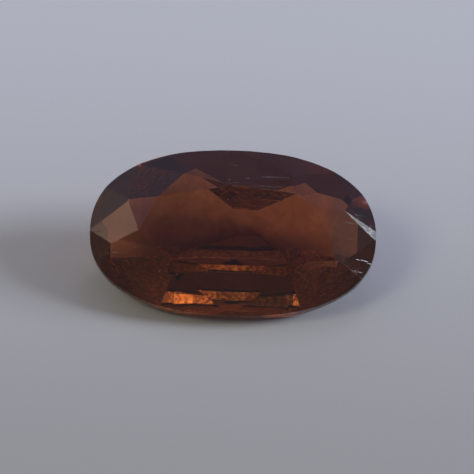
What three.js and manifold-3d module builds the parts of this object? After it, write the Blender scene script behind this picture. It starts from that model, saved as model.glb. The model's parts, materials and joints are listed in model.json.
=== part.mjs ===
// A cut hessonite garnet, one elongated oval stone lying on a level surface.
// The crown is a brilliant cut: a table, eight kite-shaped mains, eight stars and sixteen break facets.
// The pavilion is a step cut that runs down to a keel. The stone leans on one long keel facet, as a
// loose stone with a keel does. Millimetres, +Z up, the origin under the middle of the stone.

import * as THREE from "three";
import { mergeVertices } from "three/addons/utils/BufferGeometryUtils.js";
import Module from "manifold-3d";

// The stone's own frame has X along the stone and Z out of the table. Height 0 is the girdle's upper
// edge. The stone was cut by hand, so its two sides differ, and each corner has numbers of its own.
const LENGTH = 14.0;
const HALF_WIDTHS = { far: 4.28, near: 4.1 };
const OUTLINE_POWER = 2.3; // 2 would be a plain ellipse, and more is fuller at the shoulders
const OUTLINE_STEPS = 96;
const CROWN_HEIGHT = 1.15;
const GIRDLE_HEIGHT = 0.45;

// The table's corners, counter-clockwise from the +X end. Each has the azimuth in degrees that its kite
// faces, and how far the next star's tip lies under the table, as a share of the crown's height.
const TABLE_CORNERS = [
  { x: 4.7, y: -0.06, azimuth: 0, starDrop: 0.217 },
  { x: 3.23, y: 1.86, azimuth: 62, starDrop: 0.284 },
  { x: -0.11, y: 2.2, azimuth: 90, starDrop: 0.284 },
  { x: -3.71, y: 1.51, azimuth: 116, starDrop: 0.243 },
  { x: -4.6, y: -0.25, azimuth: 180, starDrop: 0.243 },
  { x: -3.73, y: -1.52, azimuth: 242, starDrop: 0.113 },
  { x: 0, y: -2.1, azimuth: 270, starDrop: 0.1 },
  { x: 3.72, y: -1.56, azimuth: 294, starDrop: 0.217 },
];

// Where the girdle is shared between the two break facets under each star's tip, as azimuths.
const BREAK_AZIMUTHS = [38, 79, 101, 142, 218, 259, 281, 322];

// The pavilion's upper row starts at the girdle's lower edge. Slopes are from the table's plane.
const UPPER_ROW = [
  { azimuth: 0, slope: 42 },
  { azimuth: 30, slope: 46 },
  { azimuth: 60, slope: 47 },
  { azimuth: 90, slope: 44 },
  { azimuth: 120, slope: 47 },
  { azimuth: 150, slope: 46 },
  { azimuth: 180, slope: 42 },
  { azimuth: 210, slope: 46 },
  { azimuth: 240, slope: 47 },
  { azimuth: 270, slope: 47 },
  { azimuth: 300, slope: 47 },
  { azimuth: 330, slope: 46 },
];

// The facets that run down to the keel, each through a point.
const KEEL_FACETS = [
  { azimuth: 0, slope: 21, at: [5.8, 0, -1.6] },
  { azimuth: 70, slope: 29, at: [1.23, 1.61, -3.03] },
  { azimuth: 90, slope: 27, at: [0.6, 1.6, -3.04] },
  { azimuth: 130, slope: 29, at: [0.03, 1.6, -3.04] },
  { azimuth: 180, slope: 21, at: [-5.6, 0, -1.65] },
  { azimuth: 235, slope: 28, at: [-5.1, -2.25, -1.2] },
  { azimuth: 305, slope: 28, at: [5.1, -2.25, -1.2] },
];
const REST_FACET = { azimuth: 270, slope: 28, at: [0, 0.8, -3.45] };

const COLOUR = 0x5a2414;
const ROUGHNESS = 0.08;
const PREFORM_DEPTH = 5; // how far the uncut rough goes under the girdle's upper edge
const BLOCK = 40; // a grinding block, larger than the stone

const wasm = await Module();
wasm.setup();

const radians = THREE.MathUtils.degToRad;

// The point of the girdle that reaches furthest towards an azimuth, and how far it reaches.
function reachOf(azimuth) {
  const power = OUTLINE_POWER / (OUTLINE_POWER - 1);
  const along = LENGTH / 2;
  const across = Math.sin(azimuth) < 0 ? HALF_WIDTHS.near : HALF_WIDTHS.far;
  const x = along * Math.abs(Math.cos(azimuth));
  const y = across * Math.abs(Math.sin(azimuth));
  const reach = (x ** power + y ** power) ** (1 / power);
  const at = (part, half, sign) => Math.sign(sign) * half * (part / reach) ** (power - 1);
  return { reach, x: at(x, along, Math.cos(azimuth)), y: at(y, across, Math.sin(azimuth)) };
}

// A facet's plane, facing out of the stone: through a point towards a direction.
function planeAt(normal, point) {
  return new THREE.Plane().setFromNormalAndCoplanarPoint(normal.clone().normalize(), point);
}

// A facet's plane through three points, facing away from the middle of the stone.
function planeThrough(a, b, c) {
  const plane = new THREE.Plane().setFromCoplanarPoints(a, b, c);
  return plane.distanceToPoint(new THREE.Vector3(0, 0, -GIRDLE_HEIGHT)) > 0 ? plane.negate() : plane;
}

// A crown main as the height it has over a point of the plan.
function mainOf(corner) {
  const turn = radians(corner.azimuth);
  const normal = new THREE.Vector2(Math.cos(turn), Math.sin(turn));
  const atTable = normal.dot(new THREE.Vector2(corner.x, corner.y));
  const girdle = reachOf(turn);
  const slope = CROWN_HEIGHT / (girdle.reach - atTable);
  const tableCorner = new THREE.Vector3(corner.x, corner.y, CROWN_HEIGHT);
  const plane = planeAt(new THREE.Vector3(normal.x * slope, normal.y * slope, 1), tableCorner);
  return { normal, atTable, slope, tableCorner, foot: new THREE.Vector3(girdle.x, girdle.y, 0), plane };
}

// Where two neighbouring mains meet at a height: the tip of the star between them.
function starTip(left, right, height) {
  const a = left.atTable + (CROWN_HEIGHT - height) / left.slope;
  const b = right.atTable + (CROWN_HEIGHT - height) / right.slope;
  const cross = left.normal.x * right.normal.y - left.normal.y * right.normal.x;
  const x = (a * right.normal.y - b * left.normal.y) / cross;
  const y = (b * left.normal.x - a * right.normal.x) / cross;
  return new THREE.Vector3(x, y, height);
}

function crownFacets() {
  const mains = TABLE_CORNERS.map(mainOf);
  const facets = mains.map((main) => main.plane);
  mains.forEach((left, index) => {
    const right = mains[(index + 1) % mains.length];
    const tip = starTip(left, right, CROWN_HEIGHT * (1 - TABLE_CORNERS[index].starDrop));
    const shared = reachOf(radians(BREAK_AZIMUTHS[index]));
    const foot = new THREE.Vector3(shared.x, shared.y, 0);
    facets.push(planeThrough(left.tableCorner, right.tableCorner, tip));
    facets.push(planeThrough(tip, left.foot, foot));
    facets.push(planeThrough(tip, foot, right.foot));
  });
  return facets;
}

// A pavilion facet's plane, through its own point or else through the girdle's lower edge.
function pavilionFacet({ azimuth, slope, at }) {
  const turn = radians(azimuth);
  const rise = Math.tan(radians(slope));
  const edge = reachOf(turn);
  const point = at ?? [edge.x, edge.y, -GIRDLE_HEIGHT];
  const normal = new THREE.Vector3(Math.cos(turn) * rise, Math.sin(turn) * rise, -1);
  return planeAt(normal, new THREE.Vector3(...point));
}

const restPlane = pavilionFacet(REST_FACET);

function pavilionFacets() {
  return [...UPPER_ROW, ...KEEL_FACETS].map(pavilionFacet).concat(restPlane);
}

// A closed geometry as a solid that can be cut.
function solidOf(geometry) {
  const bare = geometry.clone();
  bare.deleteAttribute("normal");
  bare.deleteAttribute("uv");
  const merged = mergeVertices(bare);
  return new wasm.Manifold(
    new wasm.Mesh({
      numProp: 3,
      vertProperties: merged.attributes.position.array,
      triVerts: new Uint32Array(merged.index.array),
    }),
  );
}

function geometryOf(solid) {
  const mesh = solid.getMesh();
  const geometry = new THREE.BufferGeometry();
  geometry.setAttribute("position", new THREE.BufferAttribute(mesh.vertProperties, 3));
  geometry.setIndex(new THREE.BufferAttribute(mesh.triVerts, 1));
  const flat = geometry.toNonIndexed();
  flat.computeVertexNormals();
  return flat;
}

// The rough, ground to the girdle's outline but not yet faceted.
function preform() {
  const outline = new THREE.Shape();
  for (let step = 0; step < OUTLINE_STEPS; step += 1) {
    const { x, y } = reachOf((2 * Math.PI * (step + 0.5)) / OUTLINE_STEPS);
    if (step === 0) outline.moveTo(x, y);
    else outline.lineTo(x, y);
  }
  const depth = CROWN_HEIGHT + PREFORM_DEPTH;
  const geometry = new THREE.ExtrudeGeometry(outline, { depth, bevelEnabled: false });
  return geometry.translate(0, 0, CROWN_HEIGHT - depth);
}

// What a facet takes off: a block standing on the facet's plane.
function grindingBlock(plane) {
  const geometry = new THREE.BoxGeometry(BLOCK, BLOCK, BLOCK).translate(0, 0, BLOCK / 2);
  const turn = new THREE.Quaternion().setFromUnitVectors(new THREE.Vector3(0, 0, 1), plane.normal);
  const foot = plane.coplanarPoint(new THREE.Vector3());
  return geometry.applyQuaternion(turn).translate(foot.x, foot.y, foot.z);
}

function cutStone() {
  let stone = solidOf(preform());
  [...crownFacets(), ...pavilionFacets()].forEach((plane) => {
    stone = stone.subtract(solidOf(grindingBlock(plane)));
  });
  return geometryOf(stone);
}

function hessonite() {
  const geometry = cutStone();
  geometry.applyQuaternion(
    new THREE.Quaternion().setFromUnitVectors(restPlane.normal, new THREE.Vector3(0, 0, -1)),
  );
  geometry.computeBoundingBox();
  const { min, max } = geometry.boundingBox;
  geometry.translate(-(min.x + max.x) / 2, -(min.y + max.y) / 2, -min.z);
  const material = new THREE.MeshStandardMaterial({ color: COLOUR, roughness: ROUGHNESS, metalness: 0 });
  const mesh = new THREE.Mesh(geometry, material);
  mesh.name = "hessonite";
  return mesh;
}

const part = new THREE.Group();
part.add(hessonite());

export default part;
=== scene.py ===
"""A cut hessonite garnet that lies on a pale floor in soft light.

The stone is cut again here from the frame's own facets, so that its edges can be worn as on a stone
that has been carried and set. Metres, in the frame's axes: X along the stone, -Y towards the camera.
"""

import json
import math
import random

import bmesh
import bpy
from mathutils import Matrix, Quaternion, Vector

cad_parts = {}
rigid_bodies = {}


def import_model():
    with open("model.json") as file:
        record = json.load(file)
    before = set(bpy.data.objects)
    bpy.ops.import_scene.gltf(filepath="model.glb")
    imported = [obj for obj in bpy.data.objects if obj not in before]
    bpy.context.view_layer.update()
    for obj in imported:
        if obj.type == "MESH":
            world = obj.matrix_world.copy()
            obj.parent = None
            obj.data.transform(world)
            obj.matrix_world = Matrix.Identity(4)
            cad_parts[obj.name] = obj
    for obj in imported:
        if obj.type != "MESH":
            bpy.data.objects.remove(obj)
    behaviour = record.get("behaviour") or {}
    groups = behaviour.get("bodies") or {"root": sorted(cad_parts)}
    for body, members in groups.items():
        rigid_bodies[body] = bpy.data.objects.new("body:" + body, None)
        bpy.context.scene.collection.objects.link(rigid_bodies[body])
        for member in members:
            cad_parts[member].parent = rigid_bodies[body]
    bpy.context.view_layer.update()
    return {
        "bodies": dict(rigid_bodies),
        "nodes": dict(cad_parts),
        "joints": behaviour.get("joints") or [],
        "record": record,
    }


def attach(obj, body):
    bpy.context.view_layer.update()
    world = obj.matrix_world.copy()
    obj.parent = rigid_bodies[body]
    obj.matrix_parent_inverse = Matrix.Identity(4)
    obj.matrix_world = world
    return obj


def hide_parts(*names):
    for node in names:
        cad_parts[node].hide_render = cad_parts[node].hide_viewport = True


MM = 0.001
NODE = "hessonite"
BODY = "root"

# How a facet is finished, as the mesh attribute FINISH says. One material has all three, because light
# has to meet the same glass where it goes in and where it comes out.
FINISH = "finish"
# The last finish, on the near side under the girdle, has rough scuffs and a colour darkened as painted shade
POLISHED, GIRDLE, WORN, DULL, SCUFFED_AND_SHADED = 0, 1, 2, 3, 4

SMALLEST_FACE = 2e-10
SAME_FACET = math.cos(math.radians(0.4))
SAME_PLANE = 0.004 * MM
SNAP = 0.003 * MM
ROUGH_BLOCK = 40 * MM

# How wide an edge is worn, in millimetres
CROWN_WEAR = (0.015, 0.04)
GIRDLE_WEAR = (0.01, 0.02)
PAVILION_WEAR = (0.01, 0.02)
SHARP_TURN = math.radians(1.5)

# The stone's own frame, in millimetres: X along it, Y across it to the far side, and Z out of its table
# from the girdle's upper edge
FAR_HALF_WIDTH = 4.28
CROWN_HEIGHT = 1.15

# Corners of the table that are worn to a small facet: where it faces, how steeply it falls from the table,
# and a point of the table where it starts
WORN_CORNERS = (
    {"azimuth": 270, "slope": 8.5, "starts": (0, -1.84, CROWN_HEIGHT)},
)

# The edge of the right-hand kite that catches the light is rounded, and most at the girdle. It's found
# by its middle. Each step is a strip's width at the girdle, on the far side of the edge and on the near.
BRIGHT_EDGE = (6.1, 0.66, 0.45)
BRIGHT_STEPS = ((0.36, 0.10), (0.16, 0.12), (0.05, 0.08))

# The keel is rounded where it runs along the rest facet
KEEL_RADIUS = 1.1
KEEL_STEPS = 7
KEEL_TURN = math.radians(25)


def facet_planes(mesh):
    """The planes of the solid's facets, the largest first, as a normal and a distance from the origin."""
    planes = []
    for face in sorted(mesh.polygons, key=lambda face: -face.area):
        if face.area < SMALLEST_FACE:
            break
        distance = face.normal.dot(face.center)
        known = any(
            face.normal.dot(normal) > SAME_FACET and abs(distance - other) < SAME_PLANE
            for normal, other in planes
        )
        if not known:
            planes.append((face.normal.copy(), distance))
    return planes


def cut(stone, normal, distance, finish):
    """Takes off what lies outside a plane, and closes the stone there with one facet."""
    made = bmesh.ops.bisect_plane(
        stone,
        geom=stone.verts[:] + stone.edges[:] + stone.faces[:],
        dist=SNAP,
        plane_co=normal * distance,
        plane_no=normal,
        clear_outer=True,
    )
    rim = [e for e in made["geom_cut"] if isinstance(e, bmesh.types.BMEdge) and len(e.link_faces) == 1]
    if len(rim) > 2:
        for face in bmesh.ops.contextual_create(stone, geom=rim)["faces"]:
            face[stone.faces.layers.float[FINISH]] = finish


def wear(stone, table, rng):
    """A narrow worn strip along each edge of the stone, as planes to cut."""
    strips = []
    layer = stone.faces.layers.float[FINISH]
    for edge in stone.edges:
        first, second = edge.link_faces
        turn = first.normal.angle(second.normal)
        rims = [face for face in (first, second) if face[layer] == GIRDLE]
        if turn < SHARP_TURN or len(rims) == 2:
            continue
        upper = max(first.normal.dot(table), second.normal.dot(table)) > 0.2
        low, high = GIRDLE_WEAR if rims else CROWN_WEAR if upper else PAVILION_WEAR
        width = rng.uniform(low, high) * MM
        depth = width / 2 * math.tan(turn / 2)
        normal = (first.normal + second.normal).normalized()
        strips.append((normal, normal.dot(edge.verts[0].co) - depth))
    return strips


class StoneFrame:
    """Turns places on the stone, in its own millimetres, into places in the scene."""

    def __init__(self, mesh, planes):
        self.up, table_distance = next(plane for plane in planes if plane[0].z > 0.5)
        self.across = Vector((0, self.up.z, -self.up.y))
        furthest = max(vertex.co.dot(self.across) for vertex in mesh.vertices)
        self.origin = self.across * (furthest - FAR_HALF_WIDTH * MM)
        self.origin += self.up * (table_distance - CROWN_HEIGHT * MM)

    def direction(self, x, y, z):
        return Vector((x, 0, 0)) + self.across * y + self.up * z

    def place(self, x, y, z):
        return self.origin + self.direction(x, y, z) * MM


def worn_corner(frame, azimuth, slope, starts):
    turn, slope = math.radians(azimuth), math.radians(slope)
    sideways = math.sin(slope)
    normal = frame.direction(math.cos(turn) * sideways, math.sin(turn) * sideways, math.cos(slope))
    return normal, normal.dot(frame.place(*starts))


def bright_strips(stone, frame):
    """Strips that round the bright edge: nothing at its upper end, and widest at the girdle."""
    middle = frame.place(*BRIGHT_EDGE)
    edge = min(stone.edges, key=lambda e: ((e.verts[0].co + e.verts[1].co) / 2 - middle).length)
    tip, foot = sorted((v.co for v in edge.verts), key=lambda co: -co.dot(frame.up))
    far, near = sorted(edge.link_faces, key=lambda face: -face.normal.y)
    along = (foot - tip).normalized()
    strips = []
    for far_width, near_width in BRIGHT_STEPS:
        ends = []
        for face, width in ((far, far_width), (near, near_width)):
            inward = face.normal.cross(along)
            if inward.dot(face.calc_center_median() - foot) < 0:
                inward.negate()
            ends.append(foot + inward * width * MM)
        normal = (ends[0] - tip).cross(ends[1] - tip).normalized()
        if normal.dot(frame.up) < 0:
            normal.negate()
        strips.append((normal, normal.dot(tip)))
    return strips


def keel_strips(stone):
    """Strips that round the keel, as planes that touch one cylinder along each edge."""
    strips = []
    rest = min(stone.faces, key=lambda face: face.normal.z)
    for edge in rest.edges:
        other = next(face for face in edge.link_faces if face != rest)
        turn = rest.normal.angle(other.normal)
        if turn < KEEL_TURN:
            continue
        middle = (rest.normal + other.normal).normalized()
        radius = KEEL_RADIUS * MM
        centre = edge.verts[0].co - middle * radius / math.cos(turn / 2)
        for step in range(KEEL_STEPS):
            share = (step + 0.5) / KEEL_STEPS
            normal = rest.normal.slerp(other.normal, share)
            strips.append((normal, normal.dot(centre) + radius))
    return strips


def facet_finish(normal, frame):
    """Facets under the girdle are less well polished; on the near side they have scuffs and a colour
    darkened as painted shade.
    """
    rise = normal.dot(frame.up)
    if rise > 0.02 or normal.z < -0.999:
        return POLISHED
    if rise > -0.02:
        return GIRDLE
    return SCUFFED_AND_SHADED if normal.dot(frame.across) < -0.1 else DULL


def cut_stone(node):
    """The stone as one closed mesh, with its own frame."""
    planes = facet_planes(node.data)
    frame = StoneFrame(node.data, planes)
    table = frame.up
    stone = bmesh.new()
    stone.faces.layers.float.new(FINISH)
    bmesh.ops.create_cube(stone, size=ROUGH_BLOCK)
    for normal, distance in planes:
        cut(stone, normal, distance, facet_finish(normal, frame))
    stone.normal_update()
    for normal, distance in keel_strips(stone):
        cut(stone, normal, distance, DULL)
    stone.normal_update()
    strips = bright_strips(stone, frame)
    for corner in WORN_CORNERS:
        cut(stone, *worn_corner(frame, **corner), POLISHED)
    stone.normal_update()
    for normal, distance in strips + wear(stone, table, random.Random(4)):
        cut(stone, normal, distance, WORN)
    stone.normal_update()
    mesh = bpy.data.meshes.new("garnet")
    stone.to_mesh(mesh)
    stone.free()
    return mesh, frame


scene = bpy.context.scene
scene.view_settings.view_transform = "Standard"
scene.cycles.max_bounces = 24
scene.cycles.transmission_bounces = 24
scene.cycles.blur_glossy = 0.3
scene.cycles.sample_clamp_indirect = 8

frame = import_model()
mesh, stone_frame = cut_stone(frame["nodes"][NODE])
TILT = math.asin(-stone_frame.up.y)


class Nodes:
    """Builds a node tree: each call makes a node, sets or links its inputs, and returns an output."""

    def __init__(self, tree):
        self.tree = tree

    def __call__(self, kind, inputs=(), out=0, **settings):
        node = self.tree.nodes.new(kind)
        for name, value in settings.items():
            setattr(node, name, value)
        for key, value in dict(inputs).items():
            if isinstance(value, bpy.types.NodeSocket):
                self.tree.links.new(value, node.inputs[key])
            else:
                node.inputs[key].default_value = value
        return node.outputs[out]

    def math(self, operation, *values):
        return self("ShaderNodeMath", dict(enumerate(values)), operation=operation)

    def mix(self, factor, first, second, blend="MIX"):
        """Mixes two colours."""
        inputs = {0: factor, 6: first, 7: second}
        return self("ShaderNodeMix", inputs, out=2, data_type="RGBA", blend_type=blend)

    def blend(self, factor, first, second):
        """Mixes two numbers."""
        return self("ShaderNodeMix", {0: factor, 2: first, 3: second})

    def ramp(self, value, low, high, start=0.0, end=1.0):
        """Maps a number from low..high to start..end, smoothly and held at both ends."""
        inputs = {0: value, 1: low, 2: high, 3: start, 4: end}
        return self("ShaderNodeMapRange", inputs, interpolation_type="SMOOTHSTEP")

    def noise(self, where, scale, detail=2.0, roughness=0.5, distortion=0.0):
        inputs = {"Vector": where, "Scale": scale, "Detail": detail}
        inputs.update({"Roughness": roughness, "Distortion": distortion})
        return self("ShaderNodeTexNoise", inputs)

    def split(self, vector):
        node = self.tree.nodes.new("ShaderNodeSeparateXYZ")
        self.tree.links.new(vector, node.inputs[0])
        return node.outputs

    def specks(self, where, scale, radius):
        """Round marks, in about half of the cells of a cell pattern. The radius is a share of a cell."""
        cells = self.tree.nodes.new("ShaderNodeTexVoronoi")
        cells.inputs["Scale"].default_value = scale
        self.tree.links.new(where, cells.inputs["Vector"])
        near = self.ramp(cells.outputs["Distance"], radius, radius / 2)
        chosen = self.math("GREATER_THAN", self.split(cells.outputs["Color"])[0], 0.5)
        return self.math("MULTIPLY", near, chosen)

    def scratches(self, where, angle):
        """Thin straight lines that run at an angle across the table."""
        turn = {"Vector": where, "Rotation": (0, 0, math.radians(angle)), "Scale": (0.35, 9.0, 0.35)}
        return self.ramp(self.noise(self("ShaderNodeMapping", turn), 1.0, detail=1), 0.70, 0.76)

    def stone_mm(self):
        """A point's place in the stone's own frame, in millimetres: X along it, Z out of its table."""
        place = self("ShaderNodeTexCoord", out="Object")
        inputs = {"Vector": place, "Rotation": (-TILT, 0, 0), "Scale": (1 / MM,) * 3}
        return self("ShaderNodeMapping", inputs)


TINT_DEEP = (0.50, 0.15, 0.045, 1)
TINT_LIGHT = (0.66, 0.25, 0.09, 1)
BODY_COLOUR = (0.7, 0.5, 0.3, 1)
BODY_DENSITY = 400
IOR = 1.74
CLARITY = 0.985


def by_finish(nodes, mixed, *values):
    """One value or colour for each finish, in the order of their numbers."""
    finish = nodes("ShaderNodeAttribute", out="Fac", attribute_name=FINISH)
    chosen = values[0]
    for number, value in enumerate(values[1:]):
        chosen = mixed(nodes.math("GREATER_THAN", finish, number + 0.5), chosen, value)
    return chosen


def garnet():
    made = bpy.data.materials.new("hessonite_surface")
    made.use_nodes = True
    links = made.node_tree.links
    nodes = Nodes(made.node_tree)
    where = nodes.stone_mm()

    streaks = nodes.ramp(nodes.noise(where, 0.55, detail=3, distortion=1.2), 0.3, 0.7)
    grain = nodes.ramp(nodes.noise(where, 5.0, detail=3), 0.35, 0.75, 0, 0.35)
    polished = nodes.mix(grain, nodes.mix(streaks, TINT_DEEP, TINT_LIGHT), TINT_DEEP)
    crumbs = nodes.ramp(nodes.noise(where, 6.0, roughness=0.7), 0.44, 0.60)
    girdle = nodes.mix(crumbs, (0.20, 0.04, 0.01, 1), (1.0, 0.80, 0.26, 1))
    worn = nodes.mix(nodes.noise(where, 4.0), TINT_LIGHT, (0.8, 0.5, 0.4, 1))
    parts = nodes.split(where)
    mottle = nodes.ramp(nodes.noise(where, 1.3, detail=4, distortion=0.6), 0.35, 0.65)
    # Painted light: the facets under the girdle get a lighter, oranger colour towards the right, so what is
    # seen through them there looks brighter
    under = nodes.mix(nodes.ramp(parts[0], -3, 3), (0.80, 0.34, 0.14, 1), (1.0, 0.38, 0.12, 1))
    under = nodes.mix(nodes.math("MULTIPLY", mottle, 0.5), under, (0.42, 0.13, 0.05, 1))
    # Painted shade: these facets grow much darker from 2.4 mm to 0.7 mm across the stone, towards the keel
    # and the near side
    under = nodes.mix(nodes.ramp(parts[1], 2.4, 0.7), under, (0.22, 0.06, 0.035, 1))
    # Painted light: lighter at the left end, so what is seen through it looks brighter
    under = nodes.mix(nodes.ramp(parts[0], -3.6, -4.8), under, (1.0, 0.42, 0.22, 1))
    # Painted shade: darker at the right end
    under = nodes.mix(nodes.ramp(parts[0], 3.8, 4.8), under, (0.36, 0.15, 0.08, 1))
    # Near-side facets under the girdle: random dark blotches of scuffs, and an overall colour much darker
    # than the rest, as painted shade
    blotches = nodes.ramp(nodes.noise(where, 1.9, detail=5, roughness=0.6, distortion=1.0), 0.42, 0.60)
    scuffed_and_painted_shade = nodes.mix(blotches, (0.42, 0.09, 0.06, 1), (0.06, 0.02, 0.02, 1))
    colour = by_finish(nodes, nodes.mix, polished, girdle, worn, under, scuffed_and_painted_shade)

    pits = nodes.specks(where, 1.1, 0.035)
    scratches = nodes.math("MAXIMUM", nodes.scratches(where, 24), nodes.scratches(where, -52))
    marks = nodes.math("MAXIMUM", pits, nodes.math("MULTIPLY", scratches, 0.4))
    smears = nodes.ramp(nodes.noise(where, 3.0, detail=4), 0.4, 0.75, 0.02, 0.06)
    roughness = by_finish(
        nodes,
        nodes.blend,
        nodes.math("ADD", smears, nodes.math("MULTIPLY", marks, 0.4)),
        nodes.ramp(nodes.noise(where, 5.0), 0.3, 0.7, 0.15, 0.25),
        nodes.ramp(nodes.noise(where, 6.0), 0.3, 0.7, 0.2, 0.5),
        nodes.ramp(nodes.noise(where, 2.5, detail=4), 0.3, 0.7, 0.06, 0.14),
        nodes.ramp(nodes.noise(where, 2.5, detail=4), 0.3, 0.7, 0.3, 0.45),
    )
    height = by_finish(
        nodes,
        nodes.blend,
        nodes.math(
            "SUBTRACT",
            nodes.math("MULTIPLY", nodes.noise(where, 1.1, distortion=0.8), 0.0006),
            nodes.math("MULTIPLY", marks, 0.004),
        ),
        nodes.math("MULTIPLY", nodes.noise(where, 6.0, roughness=0.6), 0.01),
        nodes.math("MULTIPLY", nodes.noise(where, 12.0), 0.01),
        nodes.math("MULTIPLY", nodes.noise(where, 5.0), 0.003),
        nodes.math("MULTIPLY", nodes.noise(where, 1.9, detail=5, roughness=0.6), 0.25),
    )

    shader = made.node_tree.nodes["Principled BSDF"]
    shader.inputs["IOR"].default_value = IOR
    shader.inputs["Transmission Weight"].default_value = CLARITY
    links.new(colour, shader.inputs["Base Color"])
    links.new(roughness, shader.inputs["Roughness"])
    links.new(nodes("ShaderNodeBump", {"Distance": MM, "Height": height}), shader.inputs["Normal"])
    volume = nodes("ShaderNodeVolumeAbsorption", {"Color": BODY_COLOUR, "Density": BODY_DENSITY})
    links.new(volume, made.node_tree.nodes["Material Output"].inputs["Volume"])
    return made


stone = bpy.data.objects.new("garnet_stone", mesh)
scene.collection.objects.link(stone)
mesh.materials.append(garnet())
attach(stone, BODY)
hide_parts(NODE)

AIR_GAP = 0.01 * MM  # a dry stone never touches the floor all over, so its lowest facet still mirrors


def floor():
    bpy.ops.mesh.primitive_plane_add(size=3, location=(0, 0, -AIR_GAP))
    plane = bpy.context.object
    plane.name = "floor"
    made = bpy.data.materials.new("pale_floor")
    made.use_nodes = True
    nodes = Nodes(made.node_tree)
    along = nodes("ShaderNodeSeparateXYZ", {0: nodes("ShaderNodeTexCoord", out="Object")}, out=1)
    # Painted light: the floor's colour is lighter on the far side and darker on the near side, in place of
    # light that falls off towards the camera
    tone = nodes.mix(nodes.ramp(along, -0.016, 0.020), (0.515, 0.512, 0.525, 1), (0.765, 0.775, 0.85, 1))
    shader = made.node_tree.nodes["Principled BSDF"]
    made.node_tree.links.new(tone, shader.inputs["Base Color"])
    shader.inputs["Roughness"].default_value = 0.9
    shader.inputs["Specular IOR Level"].default_value = 0.1
    plane.data.materials.append(made)


floor()


def light(name, azimuth, elevation, distance, size, power, colour):
    """A square panel that faces the stone. Azimuth 0 is beyond the stone and 90 to its right."""
    panel = bpy.data.lights.new(name, "AREA")
    panel.energy = power
    panel.color = colour
    panel.size = size
    lamp = bpy.data.objects.new(name, panel)
    bpy.context.scene.collection.objects.link(lamp)
    turn, rise = math.radians(azimuth), math.radians(elevation)
    towards = Vector(
        (math.sin(turn) * math.cos(rise), math.cos(turn) * math.cos(rise), math.sin(rise))
    )
    lamp.location = towards * distance
    lamp.rotation_euler = (-towards).to_track_quat("-Z", "Y").to_euler()


light("cool_key", 86, 25, 1.2, 0.40, 9.0, (0.81, 0.89, 1.0))
light("warm_fill", -112, 50, 1.2, 0.40, 1.8, (0.97, 1.0, 0.60))
light("far_lamp", 12, 50, 0.30, 0.040, 0.026, (0.97, 0.98, 1.0))
light("middle_lamp", -2, 55, 0.30, 0.030, 0.006, (0.97, 0.98, 1.0))
light("high_lamp", 0, 69, 0.30, 0.024, 0.0042, (0.97, 0.98, 1.0))
light("left_lamp", -94, 41, 0.30, 0.050, 0.0060, (1.0, 0.60, 0.35))
light("small_lamp_left", -24, 48, 0.30, 0.016, 0.0055, (0.97, 0.98, 1.0))
light("small_lamp_right", 24, 48, 0.30, 0.016, 0.0020, (0.97, 0.98, 1.0))


def surroundings():
    """A room that is darker overhead and on the near side."""
    world = bpy.data.worlds.new("room")
    bpy.context.scene.world = world
    world.use_nodes = True
    nodes = Nodes(world.node_tree)
    towards = world.node_tree.nodes.new("ShaderNodeSeparateXYZ")
    place = nodes("ShaderNodeTexCoord", out="Generated")
    world.node_tree.links.new(place, towards.inputs[0])
    x, y, z = towards.outputs
    sides = nodes.math("MULTIPLY", nodes.math("MULTIPLY", x, x), nodes.math("MULTIPLY", z, z))
    sides = nodes.math("MULTIPLY", sides, nodes.ramp(y, -0.35, 0))
    side_glow = nodes.math("MULTIPLY", sides, nodes.ramp(x, -0.4, 0.4, 1.3, 0.4))
    near_far = nodes.ramp(y, -0.6, 0.6, 0.15, 0.28)
    overhead = nodes.math("MULTIPLY", near_far, nodes.ramp(z, 0.5, 1.0, 1.0, 0.7))
    strength = nodes.math("ADD", overhead, side_glow)
    neutral, warm, violet = (0.95, 0.9, 1.0, 1), (1.0, 0.88, 0.88, 1), (0.68, 0.76, 1.15, 1)
    colour = nodes.mix(nodes.ramp(x, -0.8, -0.2), warm, nodes.mix(nodes.ramp(y, -0.2, 0.5), neutral, violet))
    colour = nodes.mix(nodes.ramp(z, 0.8, 0.95), colour, (1.05, 0.88, 1.2, 1))
    background = world.node_tree.nodes["Background"]
    world.node_tree.links.new(colour, background.inputs["Color"])
    world.node_tree.links.new(strength, background.inputs["Strength"])


surroundings()


def camera():
    """Looks down on the stone from the near side, as in the photograph."""
    elevation, roll = math.radians(47), math.radians(-1.8)
    distance = 0.30
    photo_width, px_per_mm = 474, 20.43
    target = Vector((0.0002, 0, 0.0023))
    lens = bpy.data.cameras.new("camera")
    lens.sensor_width = 36
    lens.lens = lens.sensor_width * distance / (photo_width / px_per_mm * MM)
    lens.clip_start = 0.001
    made = bpy.data.objects.new("camera", lens)
    bpy.context.scene.collection.objects.link(made)
    look = Vector((0, math.cos(elevation), -math.sin(elevation)))
    made.location = target - look * distance
    made.rotation_mode = "QUATERNION"
    made.rotation_quaternion = Quaternion(look, roll) @ look.to_track_quat("-Z", "Y")
    bpy.context.scene.camera = made


camera()
